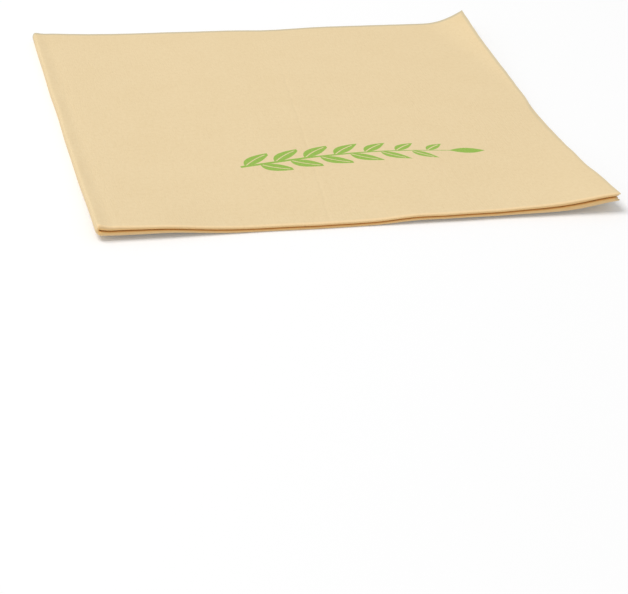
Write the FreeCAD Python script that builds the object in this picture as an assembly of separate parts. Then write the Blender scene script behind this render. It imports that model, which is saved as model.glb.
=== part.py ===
"""Paper napkin: one square tissue sheet, folded in half and in half again.

Millimetres, +Z up. The origin is the middle of the underside, on the surface
that the napkin lies on. X runs along the front edge, Y runs away from it.
The first fold is along the front edge, the second is the roll along the left edge.
"""
import FreeCAD, Part
import math
import os

NODE = "napkin"

# Driving sizes in the spreadsheet: alias, value and what it measures
DRIVING_SIZES = (
    ("sheet_side", 330.0, "side of the open square sheet"),
    ("sheet_thickness", 0.30, "both plies of crepe together"),
    ("first_fold_gap", 0.20, "air inside the first fold"),
    ("second_fold_gap", 0.30, "air inside the second fold"),
    ("slip_reach", 60.0, "distance from the front fold that holds the inner layers back"),
    ("roll_puff", 1.0, "rise of the top layer over the rolled fold"),
    ("roll_puff_reach", 42.0, "width of that rise"),
    ("near_left_lift", 1.5, "rise of the closed corner"),
    ("near_left_reach_x", 60.0, "reach of that rise along the front edge"),
    ("near_left_reach_y", 72.0, "reach of that rise along the left edge"),
    ("near_right_stack_lift", 3.5, "rise of all layers at the front right corner"),
    ("near_right_lift", 0.4, "further rise of the top layer there"),
    ("near_right_reach_x", 75.0, "reach of that rise along the front edge"),
    ("near_right_reach_y", 78.0, "reach of that rise along the right edge"),
    ("far_left_lift", 0.4, "rise of the back left corner"),
    ("far_left_reach_x", 35.0, "reach of that rise along the back edge"),
    ("far_left_reach_y", 60.0, "reach of that rise along the left edge"),
    ("far_right_lift", 0.85, "broad rise of the open back right corner"),
    ("far_right_reach_x", 50.0, "reach of that rise along the back edge"),
    ("far_right_reach_y", 88.0, "reach of that rise along the right edge"),
    ("tip_lift", 5.2, "sharp curl at the tip of the open corner"),
    ("tip_reach_x", 11.0, "reach of the curl along the back edge"),
    ("tip_reach_y", 87.0, "reach of the curl along the right edge"),
)

# How finely the surfaces are laid out
LEG_DEGREE = 3
RESTING_SPANS = 3
CURLED_SPANS = 6
LENGTH_SPANS = 8
LEG_GRADING = 1.6
TURN_FACETS = 8
SEW_TOLERANCE = 0.0005
VOLUME_TOLERANCE = 0.02


def make_spreadsheet(doc):
    """Put each driving size in a named cell, with its meaning beside it."""
    cells = doc.addObject("Spreadsheet::Sheet", "sizes")
    for row, (alias, value, meaning) in enumerate(DRIVING_SIZES, start=1):
        cells.set("A%d" % row, alias)
        cells.set("B%d" % row, "%g" % value)
        cells.set("C%d" % row, meaning)
        cells.setAlias("B%d" % row, alias)
    doc.recompute()
    return cells


def smooth_step(share):
    """Ease from 0 to 1 with level ends."""
    share = min(max(share, 0.0), 1.0)
    return share * share * (3.0 - 2.0 * share)


def corner_rise(along_x, along_y, lift, reach_x, reach_y):
    """Height of a curled corner at a distance from it along both edges."""
    fade = 1.0 - along_x / reach_x - along_y / reach_y
    return lift * max(fade, 0.0) ** 2


class Band:
    """One strip across the sheet: stations for poles, and the knots of their spline.

    A station is (run, across, depth). Run is the distance past the end of a fold's
    turn, and across and depth are its place on a turn of radius 1.
    """

    def __init__(self, stations, knots, degree):
        self.stations = stations
        self.knots = knots
        self.repeats = [degree + 1] + [1] * (len(knots) - 2) + [degree + 1]
        self.degree = degree


def turn_bands():
    """Narrow facets round the turn of a fold, from its lower leg to its upper leg."""
    places = []
    for index in range(TURN_FACETS + 1):
        angle = math.pi * (index / TURN_FACETS - 0.5)
        places.append((0.0, -math.cos(angle), math.sin(angle)))
    return [Band([start, end], [0.0, 1.0], 1) for start, end in zip(places, places[1:])]


def leg_bands(start, end, spans):
    """A flat strip beside a fold, closer set at its end, on both legs of the fold.

    Each pole lies at the mean of its knots, so that the skin is laid out evenly.
    """
    runs = []
    for index in range(spans + 1):
        share = 1.0 - (1.0 - index / spans) ** LEG_GRADING
        runs.append(start + (end - start) * share)
    padded = [start] * LEG_DEGREE + runs + [end] * LEG_DEGREE
    means = [sum(padded[index + 1:index + 1 + LEG_DEGREE]) / LEG_DEGREE
             for index in range(spans + LEG_DEGREE)]
    upper = Band([(run, 0.0, 1.0) for run in means], runs, LEG_DEGREE)
    lower_stations = [(run, 0.0, -1.0) for run in reversed(means)]
    lower = Band(lower_stations, [-run for run in reversed(runs)], LEG_DEGREE)
    return lower, upper


class FoldedSheet:
    """Places points of the sheet and of its two skins in the folded napkin."""

    def __init__(self, size):
        self.size = size
        self.half_thickness = size("sheet_thickness") / 2.0
        self.first_radius = self.half_thickness + size("first_fold_gap") / 2.0
        inner_radius = self.half_thickness + size("second_fold_gap") / 2.0
        self.second_radius = inner_radius + 2.0 * self.first_radius
        self.middle_height = self.second_radius + self.half_thickness
        half_side = size("sheet_side") / 2.0
        self.x_leg = half_side - math.pi * self.second_radius / 2.0
        self.y_leg = half_side - math.pi * self.first_radius / 2.0
        self.width = self.second_radius + self.x_leg + math.pi * self.first_radius
        self.length = self.first_radius + self.y_leg

    def roll_bands(self):
        """Strips from the lower cut edge round the rolled fold to the upper one."""
        curl_start = self.x_leg - self.size("near_right_reach_x")
        lower_rest, upper_rest = leg_bands(0.0, curl_start, RESTING_SPANS)
        lower_curl, upper_curl = leg_bands(curl_start, self.x_leg, CURLED_SPANS)
        return [lower_curl, lower_rest] + turn_bands() + [upper_rest, upper_curl]

    def front_bands(self):
        """Strips from the outer layer's cut edge round the front fold to the inner's."""
        outer, inner = leg_bands(0.0, self.y_leg, LENGTH_SPANS)
        return [outer] + turn_bands() + [inner]

    def first_fold(self, station, radius):
        """Distance behind the front, and depth under the outer layer."""
        run, across, depth = station
        return self.first_radius + run + radius * across, self.first_radius + radius * depth

    def second_fold(self, station, depth):
        """Distance from the rolled fold, and height over the surface."""
        run, across, height = station
        radius = self.second_radius - depth
        return self.second_radius + run + radius * across, self.middle_height + radius * height

    def slip(self, run, y, depth):
        """How far an inner layer slides out past the outer one, clear of the folds."""
        along_front = run / self.x_leg
        from_front = smooth_step(y / self.size("slip_reach"))
        return math.pi * depth / 2.0 * along_front * from_front

    def stack_rise(self, x, y):
        """How far the whole stack curls up off the surface at the front right."""
        size = self.size
        return corner_rise(self.width - x, y, size("near_right_stack_lift"),
                           size("near_right_reach_x"), size("near_right_reach_y"))

    def fan_rise(self, x, y):
        """How far the layers open up, between the underside and the top layer."""
        size = self.size
        from_right = self.width - x
        from_back = self.length - y
        total = size("roll_puff") * max(1.0 - x / size("roll_puff_reach"), 0.0) ** 2
        corners = (
            ("near_left", x, y),
            ("near_right", from_right, y),
            ("far_left", x, from_back),
            ("far_right", from_right, from_back),
        )
        for name, along_x, along_y in corners:
            total += corner_rise(along_x, along_y, size(name + "_lift"),
                                 size(name + "_reach_x"), size(name + "_reach_y"))
        return total

    def tip_rise(self, x, y):
        """Height of the curled tip of the open corner, mostly in the top layers."""
        return corner_rise(self.width - x, self.length - y, self.size("tip_lift"),
                           self.size("tip_reach_x"), self.size("tip_reach_y"))

    def pole(self, x_station, y_station, side):
        """A pole of one skin, side being 1 outside the front fold and -1 inside it."""
        y, depth = self.first_fold(y_station, self.first_radius)
        x, z = self.second_fold(x_station, depth)
        share = (z - self.half_thickness) / (2.0 * self.second_radius)
        rise = self.stack_rise(x, y) + share * self.fan_rise(x, y)
        rise += share ** 2 * self.tip_rise(x, y)
        slip = self.slip(x_station[0], y, depth)
        skin_radius = self.first_radius + side * self.half_thickness
        y, depth = self.first_fold(y_station, skin_radius)
        x, z = self.second_fold(x_station, depth)
        middle_x = (self.width - self.half_thickness) / 2.0
        middle_y = (self.length - self.half_thickness) / 2.0
        return FreeCAD.Vector(x + slip - middle_x, y - middle_y, z + rise)


def spline_face(poles, u_band, v_band):
    """A face on a grid of poles."""
    surface = Part.BSplineSurface()
    surface.buildFromPolesMultsKnots(poles, u_band.repeats, v_band.repeats,
                                     u_band.knots, v_band.knots,
                                     False, False, u_band.degree, v_band.degree)
    return surface.toShape()


def spline_edge(poles, band):
    """An edge on a row of poles."""
    curve = Part.BSplineCurve()
    curve.buildFromPolesMultsKnots(poles, band.repeats, band.knots, False, band.degree)
    return curve.toShape()


def cut_face(rows, band):
    """The narrow face of a cut edge, straight from one skin to the other."""
    across = Band(rows, [0.0, 1.0], 1)
    return spline_face(rows, across, band)


def plane_face(poles, u_band, v_band):
    """A plane face with the same four edges that a level grid of poles has."""
    first_column = [row[0] for row in poles]
    last_column = [row[-1] for row in poles]
    edges = [
        spline_edge(poles[0], v_band),
        spline_edge(last_column, u_band),
        spline_edge(poles[-1], v_band),
        spline_edge(first_column, u_band),
    ]
    return Part.Face(Part.Wire(Part.__sortEdges__(edges)))


def skin_face(poles, u_band, v_band):
    """A plane face where the poles are level, and a spline face elsewhere."""
    heights = [pole.z for row in poles for pole in row]
    if max(heights) - min(heights) < SEW_TOLERANCE:
        return plane_face(poles, u_band, v_band)
    return spline_face(poles, u_band, v_band)


def strip_faces(folded, x_bands, y_bands, i, j):
    """The two skins of one patch of the sheet, and its cut edges if it has any."""
    x_band = x_bands[i]
    y_band = y_bands[j]
    grids = []
    for side in (1, -1):
        grids.append([[folded.pole(x_station, y_station, side)
                       for y_station in y_band.stations]
                      for x_station in x_band.stations])
    faces = [skin_face(grid, x_band, y_band) for grid in grids]
    for last, end in ((0, 0), (len(x_bands) - 1, -1)):
        if i == last:
            faces.append(cut_face([grid[end] for grid in grids], y_band))
    for last, end in ((0, 0), (len(y_bands) - 1, -1)):
        if j == last:
            faces.append(cut_face([[row[end] for row in grid] for grid in grids], x_band))
    return faces


def napkin_solid(folded):
    """Sew both skins and the four cut edges of the folded sheet into one solid."""
    x_bands = folded.roll_bands()
    y_bands = folded.front_bands()
    faces = []
    for i in range(len(x_bands)):
        for j in range(len(y_bands)):
            faces += strip_faces(folded, x_bands, y_bands, i, j)
    sewn = Part.makeCompound(faces)
    sewn.sewShape(SEW_TOLERANCE)
    solid = Part.Solid(sewn.Shells[0])
    if solid.Volume < 0.0:
        solid.reverse()
    return solid


def make_napkin(doc, cells):
    """Add the folded sheet to the document."""
    napkin = doc.addObject("Part::Feature", NODE)
    napkin.Label = NODE
    napkin.Shape = napkin_solid(FoldedSheet(cells.get))
    napkin.Placement = FreeCAD.Placement()
    return napkin


def check(doc, napkin, cells):
    """Stop if an object failed or the solid isn't the whole sheet."""
    for item in doc.Objects:
        if "Invalid" in item.State or "Error" in item.State:
            raise RuntimeError("%s failed" % item.Label)
    shape = napkin.Shape
    if shape.isNull() or not shape.isValid() or len(shape.Solids) != 1:
        raise RuntimeError("%s is not one valid solid" % napkin.Label)
    whole = cells.get("sheet_side") ** 2 * cells.get("sheet_thickness")
    if abs(shape.Volume / whole - 1.0) > VOLUME_TOLERANCE:
        raise RuntimeError("%s has lost part of its sheet" % napkin.Label)


def main():
    os.makedirs("parts", exist_ok=True)
    doc = FreeCAD.newDocument("paper_napkin")
    cells = make_spreadsheet(doc)
    napkin = make_napkin(doc, cells)
    doc.recompute()
    check(doc, napkin, cells)
    box = napkin.Shape.BoundBox
    print("volume mm3", round(napkin.Shape.Volume, 1), "faces", len(napkin.Shape.Faces))
    print("box mm", round(box.XLength, 2), round(box.YLength, 2), round(box.ZLength, 2))
    napkin.Shape.exportStep("parts/%s.step" % napkin.Label)


main()
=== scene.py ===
"""A paper napkin folded in quarters: sheet, tissue, print, studio and camera."""
import math
from collections import namedtuple

import bpy
import numpy as np
from bpy.props import FloatProperty, FloatVectorProperty, IntProperty, PointerProperty
from bpy.types import Operator, Panel, PropertyGroup
from mathutils import Matrix, Vector


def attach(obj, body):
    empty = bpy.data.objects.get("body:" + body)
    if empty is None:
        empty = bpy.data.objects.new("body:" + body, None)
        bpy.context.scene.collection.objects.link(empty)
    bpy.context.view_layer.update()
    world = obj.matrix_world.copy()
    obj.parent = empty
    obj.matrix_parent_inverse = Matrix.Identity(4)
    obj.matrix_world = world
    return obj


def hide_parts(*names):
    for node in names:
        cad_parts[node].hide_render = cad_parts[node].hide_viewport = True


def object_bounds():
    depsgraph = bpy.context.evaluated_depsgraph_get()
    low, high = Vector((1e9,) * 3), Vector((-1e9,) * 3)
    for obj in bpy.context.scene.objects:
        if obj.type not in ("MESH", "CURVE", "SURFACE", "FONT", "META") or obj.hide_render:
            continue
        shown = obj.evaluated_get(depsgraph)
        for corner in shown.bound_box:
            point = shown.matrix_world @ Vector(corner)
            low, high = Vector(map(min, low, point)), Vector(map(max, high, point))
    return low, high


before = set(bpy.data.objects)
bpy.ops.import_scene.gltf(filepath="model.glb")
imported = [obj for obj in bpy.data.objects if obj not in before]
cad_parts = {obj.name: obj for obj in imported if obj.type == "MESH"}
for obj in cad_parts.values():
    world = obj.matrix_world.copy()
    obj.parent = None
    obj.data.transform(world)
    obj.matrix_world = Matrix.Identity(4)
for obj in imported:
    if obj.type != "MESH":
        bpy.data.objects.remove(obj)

bl_info = {
    "name": "Folded paper napkin",
    "version": (1, 0, 0),
    "blender": (4, 5, 0),
    "location": "3D View > Sidebar > Napkin",
    "description": "Folds a sheet of crepe tissue in quarters and sets it in a studio",
    "category": "Add Mesh",
}

CAD_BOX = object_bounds()
NAPKIN_NODE = "napkin"
MM = 0.001

# How a curl or a swell grows up the stack: the power of a layer's share of the height
WHOLE_STACK = 0
EVENLY = 1
TOP_MOST = 2

# A curled corner: is it at the right, is it at the back, height at the corner, reach
# along x, reach along y, and how it is shared
Curl = namedtuple("Curl", "right back lift reach_x reach_y shared")
CORNER_CURLS = (
    Curl(False, False, 1.8 * MM, 60.0 * MM, 72.0 * MM, WHOLE_STACK),
    Curl(False, False, 0.3 * MM, 60.0 * MM, 72.0 * MM, EVENLY),
    Curl(True, False, 3.5 * MM, 75.0 * MM, 78.0 * MM, WHOLE_STACK),
    Curl(True, False, 0.4 * MM, 75.0 * MM, 78.0 * MM, EVENLY),
    Curl(False, True, 0.4 * MM, 35.0 * MM, 60.0 * MM, EVENLY),
    Curl(True, True, 0.45 * MM, 16.0 * MM, 91.0 * MM, EVENLY),
    Curl(True, True, 5.1 * MM, 16.0 * MM, 91.0 * MM, TOP_MOST),
)

# A swell of an edge: place along the edge, height, half width and how it is shared.
# Swells fade away from their edge over SWELL_REACH
Swell = namedtuple("Swell", "place height width shared")
FRONT_SWELLS = (
    Swell(22.5 * MM, 0.75 * MM, 11.5 * MM, WHOLE_STACK),
    Swell(73.0 * MM, -0.15 * MM, 9.0 * MM, EVENLY),
    Swell(99.0 * MM, 0.85 * MM, 10.0 * MM, WHOLE_STACK),
    Swell(114.0 * MM, 0.50 * MM, 9.0 * MM, WHOLE_STACK),
    Swell(150.0 * MM, 0.90 * MM, 14.0 * MM, EVENLY),
    Swell(150.0 * MM, -0.80 * MM, 14.0 * MM, WHOLE_STACK),
    Swell(162.0 * MM, 0.70 * MM, 9.0 * MM, WHOLE_STACK),
)
RIGHT_SWELLS = (
    Swell(16.0 * MM, 0.20 * MM, 9.0 * MM, WHOLE_STACK),
    Swell(112.0 * MM, 0.45 * MM, 22.0 * MM, EVENLY),
)
SWELL_REACH = 25.0 * MM

# How the cut edges of the four layers miss each other, in millimetres: shift of the
# right edge and how much more at its hollow, shift of the back edge and how much more
# at its notch, random seed
LayerEdge = namedtuple("LayerEdge", "right at_hollow back at_notch seed")
LAYER_EDGES = (
    LayerEdge(-1.0, -0.5, -1.3, -0.6, 31),     # upper inner layer
    LayerEdge(-0.3, -1.55, -1.25, -1.2, 33),   # top layer
    LayerEdge(-1.1, -0.7, -1.4, -0.5, 35),     # lower inner layer
    LayerEdge(-0.4, -1.2, -1.5, -0.6, 37),     # underside
)

# Rows of small cells beside the folds and along the cut edges, and cells round a turn
FOLD_CELL = 0.5 * MM
FOLD_CELLS = 12
EDGE_CELL = 0.75 * MM
EDGE_CELLS = 18
ROLL_CELLS = 14
FRONT_FOLD_CELLS = 10
SMOOTH_ANGLE = math.radians(50.0)


def linear(red, green, blue):
    """A colour given in 0 to 255 steps of a screen, as light."""
    steps = []
    for value in (red, green, blue):
        share = value / 255.0
        steps.append(share / 12.92 if share <= 0.04045 else ((share + 0.055) / 1.055) ** 2.4)
    return tuple(steps)


class NapkinSheetSettings(PropertyGroup):
    """The open sheet and how it is folded."""

    side: FloatProperty(
        name="Sheet side", description="Side of the open square sheet",
        default=330.0 * MM, min=0.1, unit="LENGTH")
    thickness: FloatProperty(
        name="Thickness", description="Both plies of crepe together",
        default=0.30 * MM, min=0.00005, unit="LENGTH", precision=5)
    first_gap: FloatProperty(
        name="First fold gap", description="Air inside the front fold",
        default=0.20 * MM, min=0.00001, unit="LENGTH", precision=5)
    second_gap: FloatProperty(
        name="Second fold gap", description="Air inside the rolled fold",
        default=0.30 * MM, min=0.00001, unit="LENGTH", precision=5)
    slip_reach: FloatProperty(
        name="Slip reach", description="Distance over which the front fold holds the inner layers",
        default=60.0 * MM, min=0.001, unit="LENGTH")
    roll_puff: FloatProperty(
        name="Roll puff", description="Rise of the top layer over the rolled fold",
        default=1.0 * MM, min=0.0, unit="LENGTH", precision=5)
    roll_puff_reach: FloatProperty(
        name="Roll puff reach", description="Width of that rise",
        default=42.0 * MM, min=0.001, unit="LENGTH")
    corner_round: FloatProperty(
        name="Closed corner", description="Radius of the corner where both folds meet",
        default=1.8 * MM, min=0.0, unit="LENGTH", precision=5)
    leg_cell: FloatProperty(
        name="Cell", description="Size of the mesh on the flat parts of the sheet",
        default=2.25 * MM, min=0.001, unit="LENGTH", precision=5)


class NapkinTissueSettings(PropertyGroup):
    """Colours and surface of the tissue."""

    paper: FloatVectorProperty(
        name="Tissue", description="Unbleached tissue seen from above",
        subtype="COLOR", size=3, min=0.0, max=1.0, default=linear(235, 212, 169))
    paper_deep: FloatVectorProperty(
        name="Thicker tissue", description="Cloudy patches where the pulp is denser",
        subtype="COLOR", size=3, min=0.0, max=1.0, default=linear(228, 203, 157))
    # Brown pulp flecks, also used as the painted shade between the plies on the cut edge
    fibre_and_ply_shade: FloatVectorProperty(
        name="Dark fibre", description="Flecks of brown pulp",
        subtype="COLOR", size=3, min=0.0, max=1.0, default=linear(176, 138, 90))
    pale_fibre: FloatVectorProperty(
        name="Pale fibre", description="Flecks of pale pulp",
        subtype="COLOR", size=3, min=0.0, max=1.0, default=linear(248, 232, 200))
    # Painted shade: the warm shade round the folded edges, painted into the tissue's colour
    fold_shade_tint: FloatVectorProperty(
        name="Folded edge", description="Tissue pressed along the front fold",
        subtype="COLOR", size=3, min=0.0, max=1.0, default=linear(255, 203, 124))
    # Painted highlight along the top of the front fold
    fold_highlight: FloatVectorProperty(
        name="Lip of the fold", description="Top of the front fold, where it catches the light",
        subtype="COLOR", size=3, min=0.0, max=1.0, default=linear(252, 219, 168))
    # Painted shade: a darker line along the cut edges, painted into the tissue's colour
    cut_edge_shade: FloatVectorProperty(
        name="Cut edge", description="Tissue crushed by the cutting blade",
        subtype="COLOR", size=3, min=0.0, max=1.0, default=linear(205, 192, 160))
    crepe_pitch: FloatProperty(
        name="Crepe pitch", description="Distance between the fine crepe ridges",
        default=0.55 * MM, min=0.0001, unit="LENGTH", precision=5)
    crepe_depth: FloatProperty(
        name="Crepe depth", description="Height of the crepe ridges",
        default=0.08 * MM, min=0.0, unit="LENGTH", precision=6)
    roughness: FloatProperty(
        name="Roughness", description="Roughness of the dry tissue",
        default=0.92, min=0.0, max=1.0, subtype="FACTOR")
    shine: FloatProperty(
        name="Shine", description="Strength of the faint shine",
        default=0.18, min=0.0, max=1.0, subtype="FACTOR")
    fuzz: FloatProperty(
        name="Fuzz", description="Glow of the loose fibres seen at a low angle",
        default=0.05, min=0.0, max=1.0, subtype="FACTOR")
    fuzz_roughness: FloatProperty(
        name="Fuzz roughness", description="Spread of that glow",
        default=0.6, min=0.0, max=1.0, subtype="FACTOR")


class NapkinPrintSettings(PropertyGroup):
    """The leafy sprig printed on the top face."""

    ink: FloatVectorProperty(
        name="Ink", description="Green ink of the sprig",
        subtype="COLOR", size=3, min=0.0, max=1.0, default=linear(140, 184, 66))
    start: FloatVectorProperty(
        name="Start", description="Foot of the stem, from the closed corner",
        size=2, subtype="XYZ", unit="LENGTH", default=(58.5 * MM, 44.0 * MM))
    heading: FloatProperty(
        name="Heading", description="Turn of the sprig from the front fold",
        default=math.radians(3.0), subtype="ANGLE")
    stem_length: FloatProperty(
        name="Stem length", description="Length of the stem without its last leaf",
        default=68.0 * MM, min=0.001, unit="LENGTH")
    stem_width: FloatProperty(
        name="Stem width", description="Width of the stem at its foot",
        default=1.5 * MM, min=0.0001, unit="LENGTH")
    bow: FloatProperty(
        name="Bow", description="Rise of the stem's arch",
        default=3.5 * MM, unit="LENGTH")
    leaf_pitch: FloatProperty(
        name="Leaf pitch", description="Distance between leaves of one side",
        default=10.4 * MM, min=0.001, unit="LENGTH")
    leaf_length: FloatProperty(
        name="Leaf length", description="Length of the largest leaf",
        default=13.0 * MM, min=0.001, unit="LENGTH")
    leaf_width: FloatProperty(
        name="Leaf width", description="Width of the largest leaf",
        default=5.4 * MM, min=0.0001, unit="LENGTH")
    leaf_angle: FloatProperty(
        name="Leaf angle", description="Angle between a leaf and the stem",
        default=math.radians(50.0), subtype="ANGLE")
    tip_length: FloatProperty(
        name="Tip length", description="Length of the last leaf, in line with the stem",
        default=12.5 * MM, min=0.001, unit="LENGTH")
    tip_width: FloatProperty(
        name="Tip width", description="Width of the last leaf",
        default=4.2 * MM, min=0.0001, unit="LENGTH")


class NapkinStudioSettings(PropertyGroup):
    """Floor, lights and camera."""

    focal_pixels: FloatProperty(
        name="Focal length", description="Focal length in pixels of the picture",
        default=1941.7, min=100.0)
    picture_width: IntProperty(
        name="Picture width", description="Width of the picture in pixels",
        default=628, min=16)
    azimuth: FloatProperty(
        name="Azimuth", description="Turn of the camera round the napkin",
        default=math.radians(-15.45), subtype="ANGLE")
    elevation: FloatProperty(
        name="Elevation", description="Height of the camera over the horizon",
        default=math.radians(28.15), subtype="ANGLE")
    roll: FloatProperty(
        name="Roll", description="Tilt of the camera about its line of sight",
        default=math.radians(3.66), subtype="ANGLE")
    distance: FloatProperty(
        name="Distance", description="Distance of the camera from its aim",
        default=547.5 * MM, min=0.01, unit="LENGTH")
    aim: FloatVectorProperty(
        name="Aim", description="Point on the floor at the middle of the picture",
        size=3, subtype="TRANSLATION", default=(-26.9 * MM, -124.4 * MM, 0.0))
    key_power: FloatProperty(
        name="Key light", description="Power of the large soft light at the upper left",
        default=54.0, min=0.0, unit="POWER")
    key_size: FloatProperty(
        name="Key size", description="Side of the square key light",
        default=1.6, min=0.01, unit="LENGTH")
    key_place: FloatVectorProperty(
        name="Key place", description="Place of the key light, which faces the napkin",
        size=3, subtype="TRANSLATION", default=(-1.26, 0.3, 2.7))
    fill_strength: FloatProperty(
        name="Fill", description="Strength of the even light all round",
        default=0.50, min=0.0)
    floor_size: FloatProperty(
        name="Floor size", description="Side of the square floor",
        default=12.0, min=1.0, unit="LENGTH")
    floor_colour: FloatVectorProperty(
        name="Floor", description="White of the floor in the light",
        subtype="COLOR", size=3, min=0.0, max=1.0, default=(0.86, 0.86, 0.86))


def ease(value, low, high):
    """Ease from 0 at low to 1 at high, with level ends."""
    share = np.clip((value - low) / (high - low), 0.0, 1.0)
    return share * share * (3.0 - 2.0 * share)


def hump(along, middle, half_width):
    """A round hump of height 1 about a place."""
    return np.exp(-((along - middle) / half_width) ** 2)


def ripple(along, pitches, seed):
    """An uneven wave between about -1 and 1, made of sines of several pitches."""
    random = np.random.default_rng(seed)
    total = np.zeros_like(along)
    for pitch in pitches:
        phase = random.uniform(0.0, 2.0 * math.pi)
        total += np.sin(2.0 * math.pi * along / pitch + phase)
    return total / len(pitches)


def soft_field(x, y, pitches, seed):
    """Gentle dents and swells over a plane, made of crossing waves."""
    random = np.random.default_rng(seed)
    total = np.zeros_like(x)
    for pitch in pitches:
        heading = random.uniform(0.0, math.pi)
        phase = random.uniform(0.0, 2.0 * math.pi)
        along = x * math.cos(heading) + y * math.sin(heading)
        total += np.sin(2.0 * math.pi * along / pitch + phase)
    return total / len(pitches)


class QuarterFold:
    """Maps points of the open sheet to the folded napkin, as the sheet's middle.

    p and q are measured from the sheet's centre. The front fold turns q back at 0,
    and the rolled fold turns p back at 0. Positive p and negative q is the top layer.
    """

    def __init__(self, sizes):
        self.sizes = sizes
        self.half = sizes.side / 2.0
        self.first_radius = (sizes.thickness + sizes.first_gap) / 2.0
        inner_radius = (sizes.thickness + sizes.second_gap) / 2.0
        self.second_radius = inner_radius + 2.0 * self.first_radius
        self.first_turn = math.pi * self.first_radius / 2.0
        self.second_turn = math.pi * self.second_radius / 2.0
        self.width = self.second_radius + self.half - self.second_turn
        self.width += math.pi * self.first_radius
        self.length = self.first_radius + self.half - self.first_turn

    def lines(self, turn, turn_cells):
        """Cell borders across the sheet, close together at the fold and the cut edges."""
        fold = np.linspace(0.0, turn, turn_cells // 2 + 1)
        margin = turn + FOLD_CELL * np.arange(1, FOLD_CELLS + 1)
        edge = self.half - EDGE_CELL * np.arange(EDGE_CELLS, -1, -1)
        leg_cells = round((edge[0] - margin[-1]) / self.sizes.leg_cell)
        leg = np.linspace(margin[-1], edge[0], leg_cells + 1)[1:-1]
        outward = np.concatenate([fold, margin, leg, edge])
        return np.concatenate([-outward[:0:-1], outward])

    def rise(self, x, y, share):
        """Height of the curls, puffs and soft dents, by how far up the stack it is."""
        sizes = self.sizes
        share = self.shared_lift(x, y, share)
        puff = np.clip(1.0 - x / sizes.roll_puff_reach, 0.0, None) ** 2
        total = share * sizes.roll_puff * puff
        for curl in CORNER_CURLS:
            along_x = self.width - x if curl.right else x
            along_y = self.length - y if curl.back else y
            fade = np.clip(1.0 - along_x / curl.reach_x - along_y / curl.reach_y, 0.0, None)
            total += share ** curl.shared * curl.lift * fade ** 2
        return total + share * self.dents(x, y) + self.swells(x, y, share)

    def swells(self, x, y, share):
        """Waves of the front fold and of the right edge."""
        total = np.zeros_like(x)
        for swell in FRONT_SWELLS:
            wave = swell.height * hump(x, swell.place, swell.width)
            total += share ** swell.shared * wave * np.exp(-y / SWELL_REACH)
        for swell in RIGHT_SWELLS:
            wave = swell.height * hump(y, swell.place, swell.width)
            total += share ** swell.shared * wave * np.exp((x - self.width) / SWELL_REACH)
        return total

    def shared_lift(self, x, y, share):
        """How the lift is shared out over the layers. The two folded edges take more
        of it than the slit between them, and past the closed corner the lower one most."""
        to_folds = 0.11
        uneven = 0.03 * ripple(x, (0.033, 0.019, 0.051), 51) * np.exp(-y / (25.0 * MM))
        lower_first = 0.24 * ease(x, 2.0 * MM, 14.0 * MM)
        share = share + (to_folds + uneven) * np.sin(2.0 * math.pi * share)
        return share + lower_first * np.sin(math.pi * np.clip(share, 0.0, 1.0))

    def dents(self, x, y):
        """Small unevenness of hand-soft paper over a flat stack."""
        swell = 0.07 * MM * soft_field(x, y, (0.083, 0.061, 0.047, 0.038), 11)
        dimple = 0.012 * MM * soft_field(x, y, (0.021, 0.017, 0.013, 0.026), 5)
        front = 0.06 * MM * np.exp(-y / (7.0 * MM)) * ripple(x, (0.031, 0.019), 3)
        bead = hump(x, 0.9 * MM, 1.5 * MM)
        valley = hump(x, 4.4 * MM, 2.2 * MM)
        uneven = 1.0 + 0.5 * ripple(y, (0.047, 0.029, 0.017), 8)
        left = 0.16 * MM * (bead - valley) * uneven
        return swell + dimple + front + left + self.handling_ridge(x, y)

    def handling_ridge(self, x, y):
        """A faint ridge left by handling, running back from the front edge."""
        at_front = 71.5 * MM
        at_back = 88.5 * MM
        middle = at_front + (at_back - at_front) * y / self.length
        ridge = 0.07 * MM * hump(x, middle, 3.5 * MM)
        return ridge * ease(y, self.length, self.length - 60.0 * MM)

    def place(self, p, q):
        """Folded places of points of the open sheet."""
        sizes = self.sizes
        angle = np.clip(q, -self.first_turn, self.first_turn) / self.first_radius
        y = self.first_radius * (1.0 - np.cos(angle))
        y += np.clip(np.abs(q) - self.first_turn, 0.0, None)
        depth = self.first_radius * (1.0 + np.sin(angle))

        radius = self.second_radius - depth
        turn = math.pi * radius / 2.0
        angle = np.clip(p, -turn, turn) / radius
        run = np.clip(np.abs(p) - turn, 0.0, None)
        held = math.pi * depth / 2.0 * ease(y, sizes.slip_reach, 0.0)
        x = self.second_radius - radius * np.cos(angle) + run
        x -= held * run / (self.half - turn)
        z = self.second_radius + sizes.thickness / 2.0 + radius * np.sin(angle)

        share = (z - sizes.thickness / 2.0) / (2.0 * self.second_radius)
        z = np.maximum(z + self.rise(x, y, share), sizes.thickness / 2.0)
        x, y = self.uneven_edges(x, y, p, q)
        x, y = self.round_corner(x, y)
        middle_x = (self.width - sizes.thickness / 2.0) / 2.0
        middle_y = (self.length - sizes.thickness / 2.0) / 2.0
        return x - middle_x, y - middle_y, z

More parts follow.
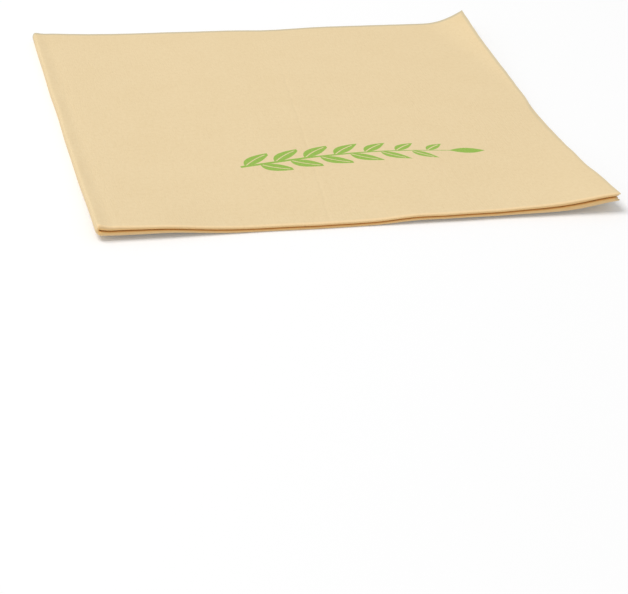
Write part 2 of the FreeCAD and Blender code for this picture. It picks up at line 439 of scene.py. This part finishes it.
    def uneven_edges(self, x, y, p, q):
        """Cut edges that wander a little, each layer by itself, and folds that bow."""
        layer = np.where(q < 0.0, 1, 0) + np.where(p < 0.0, 2, 0)
        near_right = ease(x / self.width, 0.85, 1.0)
        near_back = ease(y / self.length, 0.9, 1.0)
        hollow = ease(y, 90.0 * MM, 76.0 * MM) * ease(y, 25.0 * MM, 70.0 * MM)
        nick = 0.55 * hump(y, 29.0 * MM, 8.0 * MM)
        notch = hump(x, 87.0 * MM, 10.0 * MM)
        step = 0.65 * ease(x, 95.0 * MM, 110.0 * MM)
        wander = 0.09
        for number, edge in enumerate(LAYER_EDGES):
            here = layer == number
            wander_x = wander * ripple(y, (0.041, 0.023, 0.009), edge.seed)
            wander_x = wander_x + edge.right + edge.at_hollow * hollow - nick
            wander_y = wander * ripple(x, (0.037, 0.021, 0.008), edge.seed + 1)
            wander_y = wander_y + edge.back + edge.at_notch * notch + step
            x = x + np.where(here, near_right * wander_x * MM, 0.0)
            y = y + np.where(here, near_back * wander_y * MM, 0.0)
        near_left = ease(x / self.width, 0.12, 0.0)
        near_front = ease(y / self.length, 0.12, 0.0)
        x = x + near_left * 0.12 * MM * ripple(y, (0.067, 0.037), 41)
        y = y + near_front * 0.14 * MM * ripple(x, (0.073, 0.041, 0.024), 43)
        return x, y

    def round_corner(self, x, y):
        """Rounds the closed corner in plan, where both folds meet."""
        reach = self.sizes.corner_round
        if reach <= 0.0:
            return x, y
        across = np.clip(1.0 - x / reach, 0.0, None)
        along = np.clip(1.0 - y / reach, 0.0, None)
        length = np.maximum(np.hypot(across, along), 1e-9)
        squeeze = np.maximum(across, along) / length
        inside = (across > 0.0) & (along > 0.0)
        x = np.where(inside, reach * (1.0 - across * squeeze), x)
        y = np.where(inside, reach * (1.0 - along * squeeze), y)
        return x, y


class Desk:
    """Adds nodes to a material's tree, one row of maths at a time."""

    def __init__(self, material):
        self.tree = material.node_tree
        self.tree.nodes.clear()

    def add(self, kind, **settings):
        """A new node, with its own settings."""
        node = self.tree.nodes.new(kind)
        for name, value in settings.items():
            setattr(node, name, value)
        return node

    def feed(self, socket, value):
        """Link an output, or set a plain value."""
        if isinstance(value, bpy.types.NodeSocket):
            self.tree.links.new(value, socket)
        else:
            socket.default_value = value

    def math(self, operation, first, second=0.0):
        """One step of maths on outputs or plain values."""
        node = self.add("ShaderNodeMath", operation=operation)
        self.feed(node.inputs[0], first)
        self.feed(node.inputs[1], second)
        return node.outputs[0]

    def turned(self, across, along, angle):
        """Distance in the direction of an angle, from two distances at right angles."""
        return self.math("ADD", self.math("MULTIPLY", across, math.cos(angle)),
                         self.math("MULTIPLY", along, math.sin(angle)))

    def soft(self, value, low, high, to_low=0.0, to_high=1.0):
        """Ease a value from one range to another, held at its ends."""
        node = self.add("ShaderNodeMapRange", interpolation_type="SMOOTHSTEP")
        for name, number in (("Value", value), ("From Min", low), ("From Max", high),
                             ("To Min", to_low), ("To Max", to_high)):
            self.feed(node.inputs[name], number)
        return node.outputs["Result"]

    def strip(self, value, starts, full, fades, ends):
        """1 along a strip, eased in from starts to full and out from fades to ends."""
        return self.math("MULTIPLY", self.soft(value, ends, fades),
                         self.soft(value, starts, full))

    def noise(self, vector, scale, detail=2.0, roughness=0.5):
        """Soft noise about 0.5, with scale as its lumps to a millimetre."""
        node = self.add("ShaderNodeTexNoise")
        self.feed(node.inputs["Vector"], vector)
        self.feed(node.inputs["Scale"], scale)
        self.feed(node.inputs["Detail"], detail)
        self.feed(node.inputs["Roughness"], roughness)
        return node.outputs["Fac"]

    def stretched(self, vector, scale):
        """Places scaled along each axis. A small scale draws a pattern out along it."""
        node = self.add("ShaderNodeMapping", vector_type="POINT")
        self.feed(node.inputs["Vector"], vector)
        self.feed(node.inputs["Scale"], scale)
        return node.outputs["Vector"]

    def blend(self, share, first, second):
        """The first colour, with a share of the second over it."""
        node = self.add("ShaderNodeMix", data_type="RGBA", blend_type="MIX")
        self.feed(node.inputs["Factor"], share)
        colours = [socket for socket in node.inputs if socket.type == "RGBA"]
        self.feed(colours[0], first)
        self.feed(colours[1], second)
        return next(socket for socket in node.outputs if socket.type == "RGBA")


def sprig_mask(desk, sprig, x, y):
    """Where the printed sprig is, from the distances in millimetres along the top face.
    run is measured along the stem and off is measured from it."""
    stem_length = sprig.stem_length / MM
    stem_width = sprig.stem_width / MM
    pitch = sprig.leaf_pitch / MM
    blur = 0.22
    leaf_foot = 0.9
    leaf_sweep = 0.022
    belly_power = 0.8
    smallest_leaf = 0.6
    vein = 0.10
    vein_end = 0.8
    foot = 6.0
    tip_overlap = 3.0
    stem_taper = 0.4
    free_end = 0.9

    across = desk.math("SUBTRACT", x, sprig.start[0] / MM)
    along = desk.math("SUBTRACT", y, sprig.start[1] / MM)
    run = desk.turned(across, along, sprig.heading)
    off = desk.turned(across, along, sprig.heading + math.pi / 2.0)
    arch = desk.math("SINE", desk.math("MULTIPLY", run, math.pi / stem_length))
    off = desk.math("SUBTRACT", off, desk.math("MULTIPLY", arch, sprig.bow / MM))
    out = desk.math("ABSOLUTE", off)

    # Leaves, one to a cell of the pitch, half a pitch apart on the two sides
    upper = desk.math("GREATER_THAN", off, 0.0)
    station = desk.math("ADD", run, desk.math("MULTIPLY", upper, pitch / 2.0))
    number = desk.math("FLOOR", desk.math("DIVIDE", station, pitch))
    cell = desk.math("MULTIPLY", number, pitch)
    within = desk.math("SUBTRACT", desk.math("SUBTRACT", station, cell), leaf_foot)
    shrinks_from = 0.2 * stem_length
    shrinks_to = 1.1 * stem_length
    size = desk.soft(cell, shrinks_from, shrinks_to, 1.0, smallest_leaf)
    axis = desk.turned(within, out, sprig.leaf_angle)
    off_axis = desk.turned(within, out, sprig.leaf_angle + math.pi / 2.0)
    forward = desk.math("MULTIPLY", desk.math("MULTIPLY", axis, axis), leaf_sweep)
    off_axis = desk.math("ABSOLUTE", desk.math("ADD", off_axis, forward))
    share = desk.math("DIVIDE", axis, desk.math("MULTIPLY", size, sprig.leaf_length / MM))
    held = desk.math("MINIMUM", desk.math("MAXIMUM", share, 0.0), 1.0)
    belly = desk.math("MULTIPLY", desk.math("POWER", held, belly_power), math.pi)
    half_width = desk.math("MULTIPLY", desk.math("SINE", belly), desk.math(
        "MULTIPLY", size, sprig.leaf_width / MM / 2.0))
    leaf = desk.soft(desk.math("SUBTRACT", half_width, off_axis), 0.0, blur)
    beside_vein = desk.soft(off_axis, vein, vein + blur)
    leaf = desk.math("MULTIPLY", leaf, desk.math(
        "MAXIMUM", beside_vein, desk.math("GREATER_THAN", share, vein_end)))
    last = desk.math("ADD", upper, stem_length / pitch - free_end)
    on_stem = desk.math("MULTIPLY", desk.math("GREATER_THAN", number, -0.5),
                        desk.math("LESS_THAN", number, last))
    leaf = desk.math("MULTIPLY", leaf, on_stem)

    # Tapered stem
    half_stem = desk.soft(run, 0.0, stem_length, stem_width / 2.0,
                          stem_taper * stem_width / 2.0)
    stem = desk.soft(desk.math("SUBTRACT", half_stem, out), 0.0, blur)
    stem = desk.math("MULTIPLY", stem, desk.soft(run, -foot, blur - foot))
    stem = desk.math("MULTIPLY", stem, desk.soft(run, stem_length, stem_length - blur))

    # Last leaf, in line with the stem
    tip = desk.math("SUBTRACT", run, stem_length - tip_overlap)
    tip = desk.math("DIVIDE", tip, sprig.tip_length / MM)
    tip = desk.math("MINIMUM", desk.math("MAXIMUM", tip, 0.0), 1.0)
    half_tip = desk.math("MULTIPLY", desk.math("SINE", desk.math("MULTIPLY", tip, math.pi)),
                         sprig.tip_width / MM / 2.0)
    tip_leaf = desk.soft(desk.math("SUBTRACT", half_tip, out), 0.0, blur)
    return desk.math("MAXIMUM", desk.math("MAXIMUM", leaf, stem), tip_leaf)


def pulp_colour(desk, tissue, on_sheet):
    """Cloudy pulp with sparse brown and pale flecks."""
    cloud_share = 0.16
    mottle_share = 0.40
    brown_share = 0.34
    pale_share = 0.40
    cloud = desk.noise(on_sheet, scale=0.06, detail=3.0, roughness=0.55)
    cloud = desk.math("MULTIPLY", desk.soft(cloud, 0.35, 0.70), cloud_share)
    mottle = desk.noise(on_sheet, scale=0.65, detail=4.0, roughness=0.65)
    mottle = desk.math("MULTIPLY", desk.soft(mottle, 0.38, 0.66), mottle_share)
    colour = desk.blend(desk.math("ADD", cloud, mottle),
                        (*tissue.paper, 1.0), (*tissue.paper_deep, 1.0))
    brown = desk.stretched(on_sheet, (1.0, 2.6, 1.0))
    brown = desk.noise(brown, scale=1.15, roughness=0.45)
    brown = desk.soft(brown, 0.64, 0.78, to_high=brown_share)
    colour = desk.blend(brown, colour, (*tissue.fibre_and_ply_shade, 1.0))
    pale = desk.stretched(on_sheet, (2.4, 0.9, 1.0))
    pale = desk.noise(pale, scale=1.4, roughness=0.45)
    pale = desk.soft(pale, 0.66, 0.78, to_high=pale_share)
    return desk.blend(pale, colour, (*tissue.pale_fibre, 1.0))


def painted_fold_light(desk, tissue, colour, x, y):
    """Painted warm shade along the two folds, and a painted highlight on the top of the front one.
    """
    # Strips in millimetres past the fold: where they start, are full, fade and end
    # Painted warm shade on the side of the rolled fold
    roll_shade_strip = (-2.6, -1.4, -0.3, 0.5)
    # Painted highlight on the lip of the front fold
    fold_highlight_strip = (-0.4, 0.2, 0.7, 1.7)
    # Painted warm shade on the front fold's face and the slit under it
    fold_shade_strip = (-1.9, -0.7, -0.4, 0.4)
    for place, strip, strength, tint in ((x, roll_shade_strip, 0.3, tissue.fold_shade_tint),
                                         (y, fold_highlight_strip, 0.6, tissue.fold_highlight),
                                         (y, fold_shade_strip, 0.9, tissue.fold_shade_tint)):
        share = desk.math("MULTIPLY", desk.strip(place, *strip), strength)
        colour = desk.blend(share, colour, (*tint, 1.0))
    return colour


def edge_shade_colour(desk, tissue, colour, outside, on_sheet, side, y):
    """A painted shade line along the cuts, fainter by the front, and painted shade between the two
    plies in their edge.
    """
    # How far the painted shade line reaches from a cut in millimetres: where it ends and where it is
    # full
    back_reach = (2.0, 0.5)
    right_reach = (1.3, 0.3)
    back_share = 0.95
    right_share_front = 0.42
    right_share_back = 0.72
    grows_along = (70.0, 110.0)
    between_plies = (0.20, 0.06)
    ply_gap_shade_share = 0.8
    mirrored = desk.add("ShaderNodeVectorMath", operation="SUBTRACT")
    desk.feed(mirrored.inputs[0], (side, side, 0.0))
    desk.feed(mirrored.inputs[1], on_sheet)
    nearest = desk.add("ShaderNodeVectorMath", operation="MINIMUM")
    desk.feed(nearest.inputs[0], on_sheet)
    desk.feed(nearest.inputs[1], mirrored.outputs["Vector"])
    split = desk.add("ShaderNodeSeparateXYZ")
    desk.feed(split.inputs["Vector"], nearest.outputs["Vector"])
    by_back = desk.soft(split.outputs["Y"], *back_reach, to_high=back_share)
    edge_shade_share = desk.soft(desk.math("ABSOLUTE", y), *grows_along,
                        right_share_front, right_share_back)
    by_right = desk.math("MULTIPLY", desk.soft(split.outputs["X"], *right_reach), edge_shade_share)
    colour = desk.blend(desk.math("MAXIMUM", by_back, by_right), colour, (*tissue.cut_edge_shade, 1.0))
    # Painted shade in the gap between the two plies, along the middle of the cut edge
    from_middle = desk.math("ABSOLUTE", desk.math("SUBTRACT", outside, 0.5))
    plies = desk.soft(from_middle, *between_plies, to_high=ply_gap_shade_share)
    return desk.blend(plies, colour, (*tissue.fibre_and_ply_shade, 1.0))


def tissue_relief(desk, tissue, on_sheet, x, y):
    """Height in millimetres of the crepe, the pulp, the puckers by the folds and one fine crease."""
    crepe = desk.stretched(on_sheet, (1.0, 0.17, 1.0))
    crepe = desk.noise(crepe, MM / tissue.crepe_pitch, detail=3.0, roughness=0.62)
    height = desk.math("MULTIPLY", crepe, tissue.crepe_depth / MM)

    lump_height = 0.06
    lumps = desk.noise(on_sheet, scale=0.8)
    height = desk.math("ADD", height, desk.math("MULTIPLY", lumps, lump_height))

    pucker_height = 0.30
    pucker_reach = 4.0
    puckers = desk.stretched(on_sheet, (0.55, 0.05, 1.0))
    puckers = desk.noise(puckers, scale=1.0, detail=3.0, roughness=0.55)
    by_fold = desk.soft(desk.math("ABSOLUTE", y), pucker_reach, 0.0)
    puckers = desk.math("MULTIPLY", desk.math("MULTIPLY", puckers, by_fold), pucker_height)
    height = desk.math("ADD", height, puckers)

    crease_depth = 0.05
    crease_start = 71.8
    crease_drift = 14.1 / 134.0
    crease_wobble = 2.4
    crease_half_width = 0.9
    line = desk.math("ADD", desk.math("MULTIPLY", y, crease_drift), crease_start)
    wobble = desk.math("SUBTRACT", desk.noise(on_sheet, scale=0.12), 0.5)
    line = desk.math("ADD", line, desk.math("MULTIPLY", wobble, crease_wobble))
    aside = desk.math("ABSOLUTE", desk.math("SUBTRACT", x, line))
    crease = desk.soft(aside, crease_half_width, 0.0)
    crease = desk.math("MULTIPLY", crease, desk.strip(y, 0.0, 3.0, 110.0, 138.0))
    return desk.math("ADD", height, desk.math("MULTIPLY", crease, -crease_depth))


def sprig_ink(desk, sprig, outside, on_sheet, x, y):
    """Share of ink: the sprig with a bled rim, worn in places and faint on the inside."""
    bleed_reach = 0.3
    bleed = desk.noise(on_sheet, scale=2.2, roughness=0.6)
    bleed = desk.math("MULTIPLY", desk.math("SUBTRACT", bleed, 0.5), bleed_reach)
    inked = sprig_mask(desk, sprig, x, desk.math("ADD", y, bleed))
    worn = desk.noise(on_sheet, scale=1.6, detail=3.0, roughness=0.7)
    worn = desk.soft(worn, 0.30, 0.60, to_low=0.82, to_high=0.97)
    through = desk.soft(outside, 0.0, 1.0, to_low=0.08)
    return desk.math("MULTIPLY", desk.math("MULTIPLY", inked, worn), through)


def tissue_material(settings):
    """Crepe tissue with the printed sprig, laid out on the open sheet."""
    tissue = settings.napkin_tissue
    side = settings.napkin_sheet.side / MM
    material = bpy.data.materials.new("unbleached_crepe_tissue")
    material.use_nodes = True
    desk = Desk(material)
    flat = desk.add("ShaderNodeUVMap", uv_map="sheet").outputs["UV"]
    scaled = desk.add("ShaderNodeVectorMath", operation="SCALE")
    desk.feed(scaled.inputs["Vector"], flat)
    desk.feed(scaled.inputs["Scale"], side)
    on_sheet = scaled.outputs["Vector"]
    split = desk.add("ShaderNodeSeparateXYZ")
    desk.feed(split.inputs["Vector"], on_sheet)
    x = desk.math("SUBTRACT", split.outputs["X"], side / 2.0)
    y = desk.math("SUBTRACT", split.outputs["Y"], side / 2.0)
    outside = desk.add("ShaderNodeAttribute", attribute_name="outside",
                       attribute_type="GEOMETRY").outputs["Fac"]

    colour = pulp_colour(desk, tissue, on_sheet)
    colour = painted_fold_light(desk, tissue, colour, x, y)
    colour = edge_shade_colour(desk, tissue, colour, outside, on_sheet, side, y)
    sprig = settings.napkin_print
    inked = sprig_ink(desk, sprig, outside, on_sheet, x, y)
    colour = desk.blend(inked, colour, (*sprig.ink, 1.0))

    bump = desk.add("ShaderNodeBump")
    desk.feed(bump.inputs["Height"], tissue_relief(desk, tissue, on_sheet, x, y))
    desk.feed(bump.inputs["Distance"], MM)
    desk.feed(bump.inputs["Strength"], 1.0)
    shader = desk.add("ShaderNodeBsdfPrincipled")
    desk.feed(shader.inputs["Base Color"], colour)
    desk.feed(shader.inputs["Normal"], bump.outputs["Normal"])
    desk.feed(shader.inputs["Roughness"], tissue.roughness)
    desk.feed(shader.inputs["Specular IOR Level"], tissue.shine)
    desk.feed(shader.inputs["Sheen Weight"], tissue.fuzz)
    desk.feed(shader.inputs["Sheen Roughness"], tissue.fuzz_roughness)
    output = desk.add("ShaderNodeOutputMaterial")
    desk.feed(output.inputs["Surface"], shader.outputs["BSDF"])
    return material


def lay_out_sheet(mesh, p, q, side):
    """The sheet's own map, with the open sheet lying flat on it."""
    layer = mesh.uv_layers.new(name="sheet")
    corners = np.empty(len(mesh.loops), dtype=np.int32)
    mesh.loops.foreach_get("vertex_index", corners)
    places = np.stack([p[corners] / side + 0.5, 0.5 - q[corners] / side], axis=1)
    layer.uv.foreach_set("vector", places.astype(np.float32).ravel())


def mark_outside(mesh, outer_points):
    """1 on the printed outside of the sheet and 0 on its inside, so a cut edge runs
    from one to the other across its thickness."""
    if len(mesh.vertices) != 2 * outer_points:
        raise RuntimeError("the sheet's two sides don't have the same points")
    marks = mesh.attributes.new("outside", "FLOAT", "POINT")
    values = np.zeros(len(mesh.vertices), dtype=np.float32)
    values[:outer_points] = 1.0
    marks.data.foreach_set("value", values)


def lay_out_sides(mesh, p, q, half):
    """A map with no overlaps: the top and underside take one half of the picture,
    the hidden sides and the cut edges the other."""
    points = len(p)
    sides = 4 * len(mesh.polygons)
    corners = np.empty(sides, dtype=np.int32)
    mesh.loops.foreach_get("vertex_index", corners)
    outside = (corners < points).reshape(-1, 4)
    across = (p[corners % points] / half).reshape(-1, 4)
    along = (-q[corners % points] / half).reshape(-1, 4)
    number = np.arange(len(mesh.polygons))[:, None]
    skin_faces = (len(mesh.polygons) - rim_faces(p, q)) // 2
    shown = (number < skin_faces) & (along.mean(axis=1, keepdims=True) > 0.0)
    folded_in = (number < skin_faces) & ~shown
    inside = (number >= skin_faces) & (number < 2 * skin_faces)
    margin = 0.004
    first_row = 0.76
    row_pitch = 0.06
    row_height = 0.05
    border = 0.9999

    def strip(value, low, high):
        return low + margin + (high - low - 2.0 * margin) * value

    u = strip(across / 2.0 + 0.5, 0.0, 1.0)
    v = strip(along, 0.0, 0.5)
    u = np.where(folded_in, strip(across / 2.0 + 0.5, 0.0, 0.5), u)
    v = np.where(folded_in, strip(along + 1.0, 0.5, 0.75), v)
    u = np.where(inside, strip(across / 2.0 + 0.5, 0.5, 1.0), u)
    v = np.where(inside, strip(along / 2.0 + 0.5, 0.5, 1.0), v)
    edge = number >= 2 * skin_faces
    for row, (at_edge, run) in enumerate(((across < -border, along), (across > border, along),
                                          (along < -border, across), (along > border, across))):
        here = edge & at_edge.all(axis=1, keepdims=True)
        low = first_row + row_pitch * row
        u = np.where(here, strip(run / 2.0 + 0.5, 0.0, 0.5), u)
        v = np.where(here, strip(outside.astype(float), low, low + row_height), v)
    layer = mesh.uv_layers.new(name="OFBake")
    layer.uv.foreach_set("vector", np.stack([u, v], axis=2).astype(np.float32).ravel())


def rim_faces(p, q):
    """Number of faces on the cut edge, one for each cell border round the sheet."""
    columns = len(np.unique(p)) - 1
    rows = len(np.unique(q)) - 1
    return 2 * (columns + rows)


class NAPKIN_OT_fold_sheet(Operator):
    """Fold a square sheet of tissue in quarters, with its curled corners"""

    bl_idname = "napkin.fold_sheet"
    bl_label = "Fold the sheet"

    def execute(self, context):
        sizes = context.scene.napkin_sheet
        fold = QuarterFold(sizes)
        p_lines = fold.lines(fold.second_turn, ROLL_CELLS)
        q_lines = fold.lines(fold.first_turn, FRONT_FOLD_CELLS)
        p_cells = len(p_lines) - 1
        q_cells = len(q_lines) - 1
        bpy.ops.object.select_all(action="DESELECT")
        bpy.ops.mesh.primitive_grid_add(x_subdivisions=p_cells, y_subdivisions=q_cells,
                                        size=sizes.side)
        piece = context.active_object
        piece.name = "napkin_sheet"
        piece.data.name = "napkin_sheet"
        mesh = piece.data
        if len(mesh.vertices) != len(p_lines) * len(q_lines):
            raise RuntimeError("the sheet's grid doesn't have the lines that it needs")
        places = np.empty(len(mesh.vertices) * 3)
        mesh.vertices.foreach_get("co", places)
        places = places.reshape(-1, 3)
        columns = np.rint((places[:, 0] / sizes.side + 0.5) * p_cells).astype(int)
        rows = np.rint((places[:, 1] / sizes.side + 0.5) * q_cells).astype(int)
        p = p_lines[columns]
        q = -q_lines[rows]
        lay_out_sheet(mesh, p, q, sizes.side)
        folded = np.stack(fold.place(p, q), axis=1)
        mesh.vertices.foreach_set("co", folded.ravel())
        mesh.update()

        solidify = piece.modifiers.new("plies", "SOLIDIFY")
        solidify.thickness = sizes.thickness
        solidify.offset = 0.0
        solidify.use_rim = True
        bpy.ops.object.modifier_apply(modifier=solidify.name)
        mark_outside(piece.data, len(p))
        lay_out_sides(piece.data, p, q, sizes.side / 2.0)
        piece.data.uv_layers.active = piece.data.uv_layers["sheet"]
        bpy.ops.object.shade_smooth_by_angle(angle=SMOOTH_ANGLE)
        material = tissue_material(context.scene)
        piece.data.materials.clear()
        piece.data.materials.append(material)

        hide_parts(NAPKIN_NODE)
        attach(piece, "root")
        return {"FINISHED"}


def seen_directly(desk):
    """1 for the rays that show the background itself, and 0 for those that only light."""
    path = desk.add("ShaderNodeLightPath")
    seen = desk.math("MAXIMUM", path.outputs["Is Camera Ray"], path.outputs["Is Glossy Ray"])
    return desk.math("MAXIMUM", seen, path.outputs["Is Transmission Ray"])


def floor_material(colour):
    """A white floor that keeps the napkin's shadow, and shows as plain white further off."""
    shadow_reach = 0.30
    white_reach = 0.90
    near_glow = 0.14
    material = bpy.data.materials.new("white_floor")
    material.use_nodes = True
    desk = Desk(material)
    distance = desk.add("ShaderNodeVectorMath", operation="LENGTH")
    desk.feed(distance.inputs[0], desk.add("ShaderNodeTexCoord").outputs["Object"])
    lift = desk.soft(distance.outputs["Value"], shadow_reach, white_reach, to_low=near_glow)
    matte = desk.add("ShaderNodeBsdfDiffuse")
    desk.feed(matte.inputs["Color"], (*colour, 1.0))
    glow = desk.add("ShaderNodeEmission")
    desk.feed(glow.inputs["Color"], (1.0, 1.0, 1.0, 1.0))
    desk.feed(glow.inputs["Strength"], desk.math("MULTIPLY", seen_directly(desk), lift))
    both = desk.add("ShaderNodeAddShader")
    desk.feed(both.inputs[0], matte.outputs["BSDF"])
    desk.feed(both.inputs[1], glow.outputs["Emission"])
    output = desk.add("ShaderNodeOutputMaterial")
    desk.feed(output.inputs["Surface"], both.outputs["Shader"])
    return material


def add_floor(context, studio):
    """A wide floor under the napkin."""
    bpy.ops.object.select_all(action="DESELECT")
    bpy.ops.mesh.primitive_plane_add(size=studio.floor_size,
                                     location=(0.0, 0.0, CAD_BOX[0].z))
    floor = context.active_object
    floor.name = "studio_floor"
    bpy.ops.object.transform_apply(location=True)
    floor.data.materials.append(floor_material(studio.floor_colour))


def add_key_light(context, studio):
    """The large soft light, which faces the middle of the napkin's underside."""
    light = bpy.data.lights.new("key", "AREA")
    light.shape = "SQUARE"
    light.size = studio.key_size
    light.energy = studio.key_power
    lamp = bpy.data.objects.new("key", light)
    context.scene.collection.objects.link(lamp)
    place = Vector(studio.key_place)
    lamp.location = place
    lamp.rotation_euler = (-place).to_track_quat("-Z", "Y").to_euler()


def light_world(context, strength):
    """Even white light from all round, and a white backdrop where the camera sees past the floor."""
    world = bpy.data.worlds.new("studio")
    context.scene.world = world
    world.use_nodes = True
    desk = Desk(world)
    sky = desk.add("ShaderNodeBackground")
    desk.feed(sky.inputs["Color"], (1.0, 1.0, 1.0, 1.0))
    desk.feed(sky.inputs["Strength"], desk.soft(seen_directly(desk), 0.0, 1.0, to_low=strength))
    output = desk.add("ShaderNodeOutputWorld")
    desk.feed(output.inputs["Surface"], sky.outputs["Background"])


def add_camera(context, studio):
    """The camera, from its turn, height and roll round a point on the floor."""
    back = Vector((math.sin(studio.azimuth) * math.cos(studio.elevation),
                   -math.cos(studio.azimuth) * math.cos(studio.elevation),
                   math.sin(studio.elevation)))
    level = Vector((0.0, 0.0, 1.0)).cross(back).normalized()
    upward = back.cross(level)
    right = level * math.cos(studio.roll) + upward * math.sin(studio.roll)
    up = upward * math.cos(studio.roll) - level * math.sin(studio.roll)
    camera = bpy.data.cameras.new("camera")
    camera.sensor_fit = "HORIZONTAL"
    camera.sensor_width = 36.0
    camera.lens = studio.focal_pixels * camera.sensor_width / studio.picture_width
    camera.clip_start = 0.01
    camera.clip_end = 100.0
    rig = bpy.data.objects.new("camera", camera)
    context.scene.collection.objects.link(rig)
    turn = Matrix((right, up, back)).transposed().to_4x4()
    rig.matrix_world = Matrix.Translation(Vector(studio.aim) + back * studio.distance) @ turn
    context.scene.camera = rig


class NAPKIN_OT_set_stage(Operator):
    """Set the white floor, the soft lights and the camera"""

    bl_idname = "napkin.set_stage"
    bl_label = "Set the stage"

    def execute(self, context):
        studio = context.scene.napkin_studio
        add_floor(context, studio)
        light_world(context, studio.fill_strength)
        add_key_light(context, studio)
        add_camera(context, studio)
        context.scene.view_settings.view_transform = "Standard"
        return {"FINISHED"}


class NAPKIN_PT_panel(Panel):
    """Sidebar panel that lists the napkin's steps and sizes"""

    bl_label = "Paper napkin"
    bl_idname = "NAPKIN_PT_panel"
    bl_space_type = "VIEW_3D"
    bl_region_type = "UI"
    bl_category = "Napkin"

    def draw(self, context):
        column = self.layout.column()
        for operator in (NAPKIN_OT_fold_sheet, NAPKIN_OT_set_stage):
            column.operator(operator.bl_idname)
        for group in (context.scene.napkin_sheet, context.scene.napkin_tissue,
                      context.scene.napkin_print, context.scene.napkin_studio):
            box = self.layout.box()
            for name in group.__annotations__:
                box.prop(group, name)


CLASSES = (
    NapkinSheetSettings,
    NapkinTissueSettings,
    NapkinPrintSettings,
    NapkinStudioSettings,
    NAPKIN_OT_fold_sheet,
    NAPKIN_OT_set_stage,
    NAPKIN_PT_panel,
)


def register():
    for cls in CLASSES:
        bpy.utils.register_class(cls)
    bpy.types.Scene.napkin_sheet = PointerProperty(type=NapkinSheetSettings)
    bpy.types.Scene.napkin_tissue = PointerProperty(type=NapkinTissueSettings)
    bpy.types.Scene.napkin_print = PointerProperty(type=NapkinPrintSettings)
    bpy.types.Scene.napkin_studio = PointerProperty(type=NapkinStudioSettings)


def unregister():
    del bpy.types.Scene.napkin_studio
    del bpy.types.Scene.napkin_print
    del bpy.types.Scene.napkin_tissue
    del bpy.types.Scene.napkin_sheet
    for cls in reversed(CLASSES):
        bpy.utils.unregister_class(cls)


def main():
    register()
    bpy.ops.napkin.fold_sheet()
    bpy.ops.napkin.set_stage()


if __name__ == "__main__":
    main()
